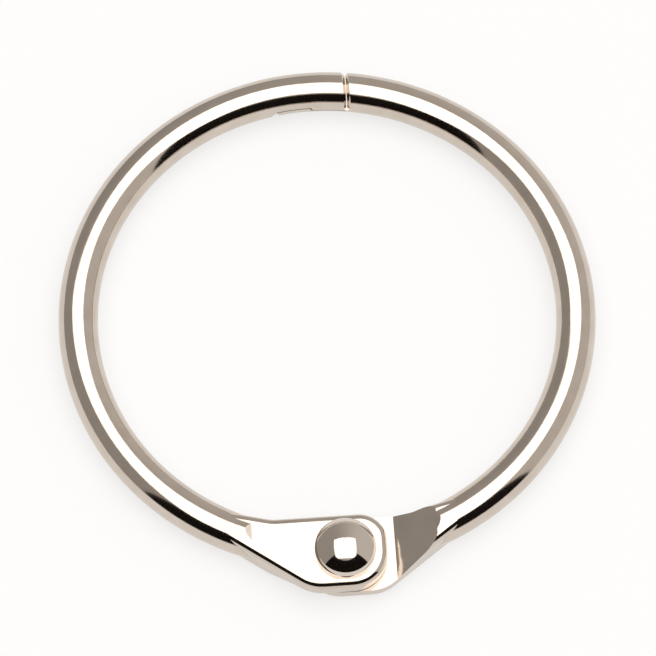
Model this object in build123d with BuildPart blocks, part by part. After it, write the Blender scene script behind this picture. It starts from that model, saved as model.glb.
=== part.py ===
"""Hinged binder ring, closed and lying flat.

Two identical half rings of round wire meet twice.  At the hinge each wire is
pressed to a flat paddle of half thickness, and a round-headed rivet goes
through both.  At the clasp, opposite, each wire ends in a half-thickness
tongue, thicker at its tip, so that the two tongues hook over each other.

Frame: millimetres, +Z up along the ring's axis.  The origin is the centre of
the ring, half way up the wire.  The hinge is at -Y and the clasp at +Y.  The
left half ring has the upper paddle and the upper tongue, and the right one is
the same piece turned over about the Y axis.
"""

import os
from math import asin, atan2, cos, degrees, radians, sin, sqrt, tan

from build123d import *

# ---- Driving dimensions ------------------------------------------------------
inside_diameter = 25.4  # clear opening of the closed ring
wire_diameter = 2.2

pivot_offset = 0.4  # the pivot stands this far outside the wire's centre line
paddle_width = 4.2
paddle_end_reach = 2.3  # pivot to the paddle's free end
inner_corner_radius = 1.5  # free end's corner towards the ring's middle
outer_corner_radius = 2.0  # free end's corner away from it
belly_reach = 2.0  # pivot to where the straight outer edge turns into the slanted one
belly_radius = 2.2
paddle_edge_radius = 0.4  # rounded edges of the faces
paddle_start_reach = 7.0  # pivot to where the paddle begins, inside the wire
paddle_start_width = 1.2  # how wide it is there
shoulder_radius = 2.0  # where the inner edge comes out of the wire's side
press_drop = 0.1  # the paddle's face lies this far below the wire's crown
crease_reach = 5.0  # pivot to the crease where the face reaches its full depth
crease_length = 0.35  # length of the slope that leads down to it
scarf_reach = 2.75  # pivot to where the mating face ends
scarf_length = 2.55  # length of the slope from there to the full round wire

shank_diameter = 1.6
head_diameter = 3.35
head_height = 1.25
head_rim = 0.45  # straight side of the head under its dome
head_edge_radius = 0.4  # rounded edge between the two
tail_diameter = 2.7
tail_height = 0.3
tail_edge_radius = 0.18

lap_length = 4.0  # the two tongues overlap this far
hook_height = 0.3  # a tongue's tip is this much thicker than its neck
hook_slope_length = 0.12
seam_bevel = 0.15  # bevel round the wire at each end of the seam

# ---- Clearances --------------------------------------------------------------
paddle_gap = 0.06  # between the two paddles
shank_clearance = 0.04  # radial, shank in each paddle's hole
tail_clearance = 0.04  # between the lower paddle and the tail
clasp_gap = 0.05  # between the two tongues, all along the seam

# ---- Worked out from the above -----------------------------------------------
wire_radius = wire_diameter / 2
inside_radius = inside_diameter / 2
mean_radius = inside_radius + wire_radius
pivot_y = -(mean_radius + pivot_offset)

paddle_top = wire_radius - press_drop
paddle_bottom = paddle_gap / 2
paddle_inner_y = pivot_y + paddle_width / 2
paddle_outer_y = pivot_y - paddle_width / 2
edge_radius = min(paddle_edge_radius, 0.45 * (paddle_top - paddle_bottom))
inner_radius = min(inner_corner_radius, 0.45 * paddle_width)
outer_radius = min(outer_corner_radius, 0.95 * paddle_width - inner_radius)

tip_x = (lap_length - clasp_gap) / 2  # end of the upper tongue
shoulder_x = -(lap_length + clasp_gap) / 2  # where the lower tongue's room starts

run_out = wire_diameter  # how far a cutting tool runs past the wire
run_out_x = paddle_end_reach + run_out


def polar(radius, angle):
    """Point in the ring's plane, at an angle in degrees from +X."""
    return Vector(radius * cos(radians(angle)), radius * sin(radians(angle)))


def hinge_angle(reach):
    """Angle of the point on the wire's centre line this far left of the pivot."""
    return 270 - degrees(asin(reach / mean_radius))


# ---- Paddle: straight towards the ring's middle, slanted and rounded outside ---
start_angle = hinge_angle(paddle_start_reach)
start_inner = polar(mean_radius - paddle_start_width / 2, start_angle)
start_outer = polar(mean_radius + paddle_start_width / 2, start_angle)
shoulder = (-sqrt(inside_radius**2 - paddle_inner_y**2), paddle_inner_y)

slant = atan2(start_outer.Y - paddle_outer_y, -belly_reach - start_outer.X)
belly = min(belly_radius, 0.95 * (paddle_end_reach + belly_reach - outer_radius) / tan(slant / 2))
corners = {
    shoulder: shoulder_radius,
    (paddle_end_reach, paddle_inner_y): inner_radius,
    (paddle_end_reach, paddle_outer_y): outer_radius,
    (-belly_reach, paddle_outer_y): belly,
}

with BuildPart() as paddle:
    with BuildSketch(Plane.XY.offset(-paddle_top)):
        with BuildLine():
            Polyline(start_inner, *corners, start_outer, close=True)
        make_face()
    extrude(amount=2 * paddle_top)
    for (x, y), radius in corners.items():
        upright = paddle.edges().filter_by(Axis.Z).sort_by_distance((x, y, 0))[0]
        fillet(upright, radius)
    # Both faces are rounded all the way round, except for the two edges at the start.
    fillet(paddle.edges().filter_by(Plane.XY).sort_by(Axis.X)[2:], edge_radius)

# ---- Left half ring ----------------------------------------------------------
# The wire runs from past the clasp, over the left, into the paddle.
wire_start = 90 - degrees(asin(lap_length / mean_radius))
wire_end = hinge_angle(scarf_reach)
start_plane = Plane(origin=(0, 0, 0), x_dir=polar(1, wire_start), z_dir=polar(1, wire_start - 90))

with BuildPart() as left_half_ring:
    with BuildSketch(start_plane):
        with Locations((mean_radius, 0)):
            Circle(wire_radius)
    revolve(axis=Axis.Z, revolution_arc=wire_end - wire_start)
    add(paddle.part)

    # Pressed root: a shallow step in the crown, and a scarf that takes off the lower half.
    with BuildSketch(Plane.XZ):
        with BuildLine():
            Polyline((-crease_reach - crease_length, wire_radius),
                     (-crease_reach, paddle_top),
                     (run_out_x, paddle_top),
                     (run_out_x, run_out),
                     (-crease_reach - crease_length, run_out), close=True)
        make_face()
        with BuildLine():
            Polyline((-scarf_reach - scarf_length, -wire_radius),
                     (-scarf_reach, paddle_bottom),
                     (run_out_x, paddle_bottom),
                     (run_out_x, -run_out),
                     (-scarf_reach - scarf_length, -run_out), close=True)
        make_face()
    extrude(amount=run_out - paddle_outer_y, mode=Mode.SUBTRACT)
    with Locations((0, pivot_y, 0)):
        Hole(shank_diameter / 2 + shank_clearance)

    # Clasp: the room of the other tongue is cut away, and the tip is square.
    neck_z = (hook_height + clasp_gap) / 2
    tip_z = neck_z - hook_height
    slope_start_x = (clasp_gap - hook_slope_length) / 2
    with BuildSketch(Plane.XZ):
        with BuildLine():
            Polyline((shoulder_x, -run_out),
                     (shoulder_x, neck_z),
                     (slope_start_x, neck_z),
                     (slope_start_x + hook_slope_length, tip_z),
                     (tip_x, tip_z),
                     (tip_x, run_out),
                     (lap_length + run_out, run_out),
                     (lap_length + run_out, -run_out), close=True)
        make_face()
    extrude(amount=-mean_radius - run_out, mode=Mode.SUBTRACT)

    # A bevel round the wire at both ends of the seam, which shows as a fine groove:
    # over the top at the tip, and underneath at the shoulder.
    for seam_x, side in ((tip_x, 1), (shoulder_x, -1)):
        seam_y = sqrt(mean_radius**2 - seam_x**2)
        with BuildSketch(Plane(origin=(seam_x, seam_y, 0), x_dir=(-1, 0, 0), z_dir=(0, 0, -1))):
            with BuildLine():
                Polyline((0, wire_radius - seam_bevel),
                         (2 * seam_bevel, wire_radius + seam_bevel),
                         (-seam_bevel, wire_radius + seam_bevel),
                         (-seam_bevel, wire_radius - seam_bevel), close=True)
            make_face()
        revolve(axis=Axis((0, seam_y, 0), (side, 0, 0)), revolution_arc=180, mode=Mode.SUBTRACT)

# ---- Right half ring: the same piece, turned over ------------------------------
with BuildPart() as right_half_ring:
    add(left_half_ring.part.rotate(Axis.Y, 180))

# ---- Rivet: domed head on the upper paddle, tail spread under the lower one ----
crown_z = paddle_top + head_height
tail_face_z = -paddle_top - tail_clearance
tail_end_z = tail_face_z - tail_height
head_radius = head_diameter / 2
dome_height = head_height - head_rim
dome_radius = (head_radius**2 + dome_height**2) / (2 * dome_height)

with BuildPart() as hinge_rivet:
    with BuildSketch(Plane.XZ.offset(-pivot_y)):
        with BuildLine():
            Polyline((0, crown_z),
                     (0, tail_end_z),
                     (tail_diameter / 2, tail_end_z),
                     (tail_diameter / 2, tail_face_z),
                     (shank_diameter / 2, tail_face_z),
                     (shank_diameter / 2, paddle_top),
                     (head_radius, paddle_top),
                     (head_radius, paddle_top + head_rim))
            RadiusArc((head_radius, paddle_top + head_rim), (0, crown_z), -dome_radius)
        make_face()
    revolve(axis=Axis((0, pivot_y, 0), (0, 0, 1)))
    rounds = hinge_rivet.edges().filter_by(Plane.XY).sort_by(Axis.Z)
    fillet(rounds[-1], head_edge_radius)
    fillet(rounds[0], tail_edge_radius)

# ---- Files ---------------------------------------------------------------------
left_half_ring.part.label = "left_half_ring"
right_half_ring.part.label = "right_half_ring"
hinge_rivet.part.label = "hinge_rivet"

os.makedirs("parts", exist_ok=True)
export_step(left_half_ring.part, "parts/left_half_ring.step")
export_step(right_half_ring.part, "parts/right_half_ring.step")
export_step(hinge_rivet.part, "parts/hinge_rivet.step")
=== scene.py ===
# %% [markdown]
# # A hinged binder ring in Blender
#
# The real thing is two pieces of bright nickel-plated steel wire, each bent to a
# half circle, held together by one round-headed rivet. Every size comes from the
# imported model, which this script loads first as a fixed frame. What is added here
# is what the eye needs: the plating, the marks of the wire die and the plating bath,
# and a small white studio for the metal to reflect.

# %% Load the frame
import math

import bpy
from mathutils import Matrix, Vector


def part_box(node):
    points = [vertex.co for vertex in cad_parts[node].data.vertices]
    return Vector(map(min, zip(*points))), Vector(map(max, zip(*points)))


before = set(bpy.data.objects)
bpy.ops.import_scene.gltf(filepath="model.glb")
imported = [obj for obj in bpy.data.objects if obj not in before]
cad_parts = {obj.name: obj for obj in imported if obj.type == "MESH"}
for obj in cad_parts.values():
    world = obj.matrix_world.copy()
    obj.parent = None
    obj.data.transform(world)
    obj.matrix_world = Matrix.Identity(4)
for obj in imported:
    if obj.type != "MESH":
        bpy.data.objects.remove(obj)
bpy.context.view_layer.update()
MM = 0.001
print("nodes:", sorted(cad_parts))

# %% [markdown]
# ## Where the ring is
#
# A nearly closed circle is measured from its own box: the left half's far side
# gives the outside radius, and the rivet's box gives the pivot. Nothing here is
# typed in that the frame already knows.

# %% Measure the ring
left_low, left_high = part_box("left_half_ring")
right_low, right_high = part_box("right_half_ring")
rivet_low, rivet_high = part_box("hinge_rivet")

OUTSIDE_RADIUS = right_high.x
WIRE_RADIUS = left_high.z
MEAN_RADIUS = OUTSIDE_RADIUS - WIRE_RADIUS
PIVOT = (rivet_low + rivet_high) / 2
FLOOR_Z = rivet_low.z
print(f"outside {OUTSIDE_RADIUS / MM:.2f} mm, wire {WIRE_RADIUS / MM:.2f} mm, both radii")


# %% [markdown]
# ## Two small tools
#
# Colours are easiest to think about as the hex values seen on a screen, but a
# shader works in linear light, so one function turns one into the other. The
# second adds a shader node, sets it up and wires it, so that each material reads
# as a short recipe.

# %% Colour and node helpers
def colour(hex_value):
    """sRGB hex, such as "D9CFC6", to the linear RGBA that a shader wants."""
    channels = [int(hex_value[i:i + 2], 16) / 255 for i in (0, 2, 4)]
    linear = [c / 12.92 if c <= 0.04045 else ((c + 0.055) / 1.055) ** 2.4 for c in channels]
    return (*linear, 1.0)


def add_node(tree, kind, settings=None, inputs=None):
    """Add a node. An input given as another node's output is linked, else it is set."""
    node = tree.nodes.new(kind)
    for name, value in (settings or {}).items():
        setattr(node, name, value)
    for name, value in (inputs or {}).items():
        if isinstance(value, bpy.types.NodeSocket):
            tree.links.new(value, node.inputs[name])
        else:
            node.inputs[name].default_value = value
    return node


def new_material(name):
    material = bpy.data.materials.new(name)
    material.use_nodes = True
    material.node_tree.nodes.clear()
    return material, material.node_tree


# %% [markdown]
# ## Nickel plating on drawn wire
#
# Nickel is a warm, slightly yellow grey metal. The plating is thin and bright, so
# it follows every mark of the steel beneath: faint lines along the wire from the
# drawing die, and a very slight orange peel from the plating bath. The lines run
# round the ring, so they are a noise in polar coordinates: tightly packed across
# the wire and stretched along it.

# %% Nickel-plated drawn wire
NICKEL = "D6CBC0"
NICKEL_DULL = "C2B6A9"
WIRE_ROUGHNESS = 0.10
PEEL_SIZE = 1.2 * MM        # one dimple of the orange peel
PEEL_DEPTH = 0.02 * MM
LINE_PITCH = 0.12 * MM      # one drawing line to the next, across the wire
LINE_LENGTH = 9 * MM        # how long one lasts, along the wire
LINE_DEPTH = 0.0015 * MM


def along_the_wire(tree, place):
    """Object position turned into (distance along the wire, radius, height)."""
    axes = add_node(tree, "ShaderNodeSeparateXYZ", inputs={0: place.outputs["Object"]})
    angle = add_node(tree, "ShaderNodeMath", {"operation": "ARCTAN2"}, {
        0: axes.outputs["Y"], 1: axes.outputs["X"]})
    along = add_node(tree, "ShaderNodeMath", {"operation": "MULTIPLY"}, {
        0: angle.outputs[0], 1: MEAN_RADIUS * LINE_PITCH / LINE_LENGTH})
    flat = add_node(tree, "ShaderNodeCombineXYZ", inputs={
        "X": axes.outputs["X"], "Y": axes.outputs["Y"]})
    radius = add_node(tree, "ShaderNodeVectorMath", {"operation": "LENGTH"}, {
        0: flat.outputs[0]})
    return add_node(tree, "ShaderNodeCombineXYZ", inputs={
        "X": along.outputs[0], "Y": radius.outputs["Value"], "Z": axes.outputs["Z"]})


def nickel_plated_wire():
    """Steel wire drawn through a die, pressed at its ends, then barrel-plated bright."""
    material, tree = new_material("nickel_plated_drawn_wire")
    place = add_node(tree, "ShaderNodeTexCoord")
    peel = add_node(tree, "ShaderNodeTexNoise", inputs={
        "Vector": place.outputs["Object"], "Scale": 1 / PEEL_SIZE, "Detail": 2.0,
        "Roughness": 0.5})
    lines = add_node(tree, "ShaderNodeTexNoise", inputs={
        "Vector": along_the_wire(tree, place).outputs[0], "Scale": 1 / LINE_PITCH,
        "Detail": 1.0, "Roughness": 0.4})
    tint = add_node(tree, "ShaderNodeMix", {"data_type": "RGBA"}, {
        "Factor": peel.outputs["Fac"], "A": colour(NICKEL), "B": colour(NICKEL_DULL)})
    dimples = add_node(tree, "ShaderNodeBump", inputs={
        "Strength": 0.05, "Distance": PEEL_DEPTH, "Height": peel.outputs["Fac"]})
    drawn = add_node(tree, "ShaderNodeBump", inputs={
        "Strength": 0.3, "Distance": LINE_DEPTH, "Height": lines.outputs["Fac"],
        "Normal": dimples.outputs["Normal"]})
    metal = add_node(tree, "ShaderNodeBsdfPrincipled", inputs={
        "Base Color": tint.outputs["Result"], "Metallic": 1.0,
        "Roughness": WIRE_ROUGHNESS, "Normal": drawn.outputs["Normal"]})
    add_node(tree, "ShaderNodeOutputMaterial", inputs={"Surface": metal.outputs["BSDF"]})
    return material


# %% [markdown]
# ## The rivet
#
# The rivet's head is turned over in a smooth punch, not drawn, so it has no lines.
# It is a little smoother than the wire and otherwise the same plating.

# %% Nickel-plated rivet
RIVET_ROUGHNESS = 0.07


def nickel_plated_rivet():
    """Steel rivet set with a polished cup punch, then plated with the ring."""
    material, tree = new_material("nickel_plated_set_rivet")
    place = add_node(tree, "ShaderNodeTexCoord")
    peel = add_node(tree, "ShaderNodeTexNoise", inputs={
        "Vector": place.outputs["Object"], "Scale": 1 / PEEL_SIZE, "Detail": 2.0,
        "Roughness": 0.5})
    dimples = add_node(tree, "ShaderNodeBump", inputs={
        "Strength": 0.05, "Distance": PEEL_DEPTH, "Height": peel.outputs["Fac"]})
    metal = add_node(tree, "ShaderNodeBsdfPrincipled", inputs={
        "Base Color": colour(NICKEL), "Metallic": 1.0, "Roughness": RIVET_ROUGHNESS,
        "Normal": dimples.outputs["Normal"]})
    add_node(tree, "ShaderNodeOutputMaterial", inputs={"Surface": metal.outputs["BSDF"]})
    return material


# %% Put the finishes on
wire_finish = nickel_plated_wire()
rivet_finish = nickel_plated_rivet()
finishes = {"left_half_ring": wire_finish, "right_half_ring": wire_finish,
            "hinge_rivet": rivet_finish}
for name, finish in finishes.items():
    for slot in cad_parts[name].material_slots:
        slot.material = finish
    print(name, "wears", finish.name)

# %% [markdown]
# ## The table
#
# The floor is plain white paper.

# %% Floor
FLOOR_SIDE = 6.0
FLOOR_GLOW = 0.7  # share of plain white; the rest takes the ring's shadow


def white_paper_floor():
    """White paper, evenly lit: mostly its own white, with enough left to hold a shadow."""
    material, tree = new_material("white_paper")
    path = add_node(tree, "ShaderNodeLightPath")
    seen = add_node(tree, "ShaderNodeMath", {"operation": "MAXIMUM"}, {
        0: path.outputs["Is Camera Ray"], 1: path.outputs["Is Glossy Ray"]})
    seen = add_node(tree, "ShaderNodeMath", {"operation": "MAXIMUM"}, {
        0: seen.outputs[0], 1: path.outputs["Is Transmission Ray"]})
    share = add_node(tree, "ShaderNodeMath", {"operation": "MULTIPLY"}, {
        0: seen.outputs[0], 1: FLOOR_GLOW})
    paper = add_node(tree, "ShaderNodeBsdfDiffuse", inputs={"Color": colour("F4F3F1")})
    glow = add_node(tree, "ShaderNodeEmission", inputs={"Color": (1, 1, 1, 1), "Strength": 1.0})
    mixed = add_node(tree, "ShaderNodeMixShader", inputs={
        0: share.outputs[0], 1: paper.outputs[0], 2: glow.outputs[0]})
    add_node(tree, "ShaderNodeOutputMaterial", inputs={"Surface": mixed.outputs[0]})
    return material


def make_floor(side):
    mesh = bpy.data.meshes.new("floor")
    half = side / 2
    mesh.from_pydata([(-half, -half, FLOOR_Z), (half, -half, FLOOR_Z),
                      (half, half, FLOOR_Z), (-half, half, FLOOR_Z)], [], [(0, 1, 2, 3)])
    floor = bpy.data.objects.new("floor", mesh)
    bpy.context.collection.objects.link(floor)
    floor.data.materials.append(white_paper_floor())


make_floor(FLOOR_SIDE)
print(f"floor at {FLOOR_Z / MM:.2f} mm")

# %% [markdown]
# ## The studio
#
# Bright metal has little colour of its own: it is a picture of the room. This room
# has one large softbox overhead, which is the white line along the wire; grey walls,
# brighter on the right; and a black curtain on the camera's side, which is the dark
# line beside the white one.

# %% Softbox
SOFTBOX_HEIGHT = 0.5
SOFTBOX_WIDTH, SOFTBOX_DEPTH = 0.62, 0.60
SOFTBOX_STRENGTH = 1.8


def area_light(name, position, target, width, height, strength):
    """A softbox: power is set so that strength 1 looks as white as the colour 1."""
    lamp = bpy.data.lights.new(name, "AREA")
    lamp.shape = "RECTANGLE"
    lamp.size, lamp.size_y = width, height
    lamp.energy = strength * math.pi * width * height
    lamp_object = bpy.data.objects.new(name, lamp)
    lamp_object.location = position
    aim = Vector(target) - Vector(position)
    lamp_object.rotation_euler = aim.to_track_quat("-Z", "Y").to_euler()
    lamp_object.visible_camera = False
    bpy.context.collection.objects.link(lamp_object)


def from_angle(azimuth, elevation, distance):
    """A point on a sphere round the ring: azimuth 0 is at -Y, 90 at +X."""
    flat = distance * math.cos(math.radians(elevation))
    return Vector((flat * math.sin(math.radians(azimuth)),
                   -flat * math.cos(math.radians(azimuth)),
                   distance * math.sin(math.radians(elevation))))


area_light("overhead_softbox", (0, 0, SOFTBOX_HEIGHT), (0, 0, 0),
           SOFTBOX_WIDTH, SOFTBOX_DEPTH, SOFTBOX_STRENGTH)
print(f"softbox {SOFTBOX_WIDTH} by {SOFTBOX_DEPTH} m, {SOFTBOX_HEIGHT} m up")


# %% Walls
WALL_LEFT = "A8A4A0"
WALL_RIGHT = "D8D4D0"
WALL_DARKEST_X, WALL_BRIGHTEST_X = -0.5, 0.75


def studio_world():
    """Grey walls that brighten from left to right; the camera itself sees plain white."""
    world = bpy.data.worlds.new("white_room")
    world.use_nodes = True
    tree = world.node_tree
    tree.nodes.clear()
    path = add_node(tree, "ShaderNodeLightPath")
    place = add_node(tree, "ShaderNodeTexCoord")
    axes = add_node(tree, "ShaderNodeSeparateXYZ", inputs={0: place.outputs["Generated"]})
    across = add_node(tree, "ShaderNodeMapRange", {"interpolation_type": "SMOOTHSTEP"}, {
        "Value": axes.outputs["X"], "From Min": WALL_DARKEST_X,
        "From Max": WALL_BRIGHTEST_X})
    walls = add_node(tree, "ShaderNodeMix", {"data_type": "RGBA"}, {
        "Factor": across.outputs["Result"], "A": colour(WALL_LEFT), "B": colour(WALL_RIGHT)})
    room = add_node(tree, "ShaderNodeBackground", inputs={"Color": walls.outputs["Result"]})
    white = add_node(tree, "ShaderNodeBackground", inputs={"Color": (1, 1, 1, 1)})
    mixed = add_node(tree, "ShaderNodeMixShader", inputs={
        0: path.outputs["Is Camera Ray"], 1: room.outputs[0], 2: white.outputs[0]})
    add_node(tree, "ShaderNodeOutputWorld", inputs={"Surface": mixed.outputs[0]})
    bpy.context.scene.world = world


studio_world()
print("walls from", WALL_LEFT, "to", WALL_RIGHT)


# %% Curtain
CURTAIN_RADIUS = 0.45
CURTAIN_AZIMUTHS = (-62, 62)
CURTAIN_ELEVATIONS = (3, 52)


def black_curtain(radius, azimuths, elevations, steps=24):
    """A curved flag that only reflections see: it draws the dark line along bright wire."""
    mesh = bpy.data.meshes.new("black_curtain")
    low, high = elevations
    first, last = azimuths
    points, faces = [], []
    for i in range(steps + 1):
        azimuth = first + (last - first) * i / steps
        points += [from_angle(azimuth, low, radius), from_angle(azimuth, high, radius)]
        if i:
            faces.append((2 * i - 2, 2 * i, 2 * i + 1, 2 * i - 1))
    mesh.from_pydata(points, [], faces)
    curtain = bpy.data.objects.new("black_curtain", mesh)
    material, tree = new_material("black_felt")
    black = add_node(tree, "ShaderNodeBsdfDiffuse", inputs={"Color": colour("1A1614")})
    add_node(tree, "ShaderNodeOutputMaterial", inputs={"Surface": black.outputs[0]})
    curtain.data.materials.append(material)
    curtain.visible_camera = False
    curtain.visible_diffuse = False
    curtain.visible_shadow = False
    bpy.context.collection.objects.link(curtain)


black_curtain(CURTAIN_RADIUS, CURTAIN_AZIMUTHS, CURTAIN_ELEVATIONS)
print("curtain over azimuths", CURTAIN_AZIMUTHS, "and elevations", CURTAIN_ELEVATIONS)

# %% [markdown]
# ## The camera
#
# A long lens, well back, keeps the ring close to a true circle.

# %% Camera
LENS = 300.0
MARGIN = 1.22
CLIP_START, CLIP_END = 0.01, 20.0

camera = bpy.data.cameras.new("camera")
camera.lens = LENS
camera_object = bpy.data.objects.new("camera", camera)
bpy.context.collection.objects.link(camera_object)
AIM = Vector((0, (right_high.y + left_low.y) / 2, 0))
FRAME_WIDTH = MARGIN * 2 * OUTSIDE_RADIUS
CAMERA_AZIMUTH, CAMERA_ELEVATION = -4, 67
distance = FRAME_WIDTH * camera.lens / camera.sensor_width
camera_object.location = AIM + from_angle(CAMERA_AZIMUTH, CAMERA_ELEVATION, distance)
camera_object.rotation_euler = (AIM - camera_object.location).to_track_quat("-Z", "Y").to_euler()
camera.clip_start, camera.clip_end = CLIP_START, CLIP_END
bpy.context.scene.camera = camera_object
bpy.context.scene.view_settings.view_transform = "Standard"
print(f"camera {distance:.2f} m away")

# %% [markdown]
# ## Finish
#
# The view layer is updated once more.

# %% Finish
bpy.context.view_layer.update()
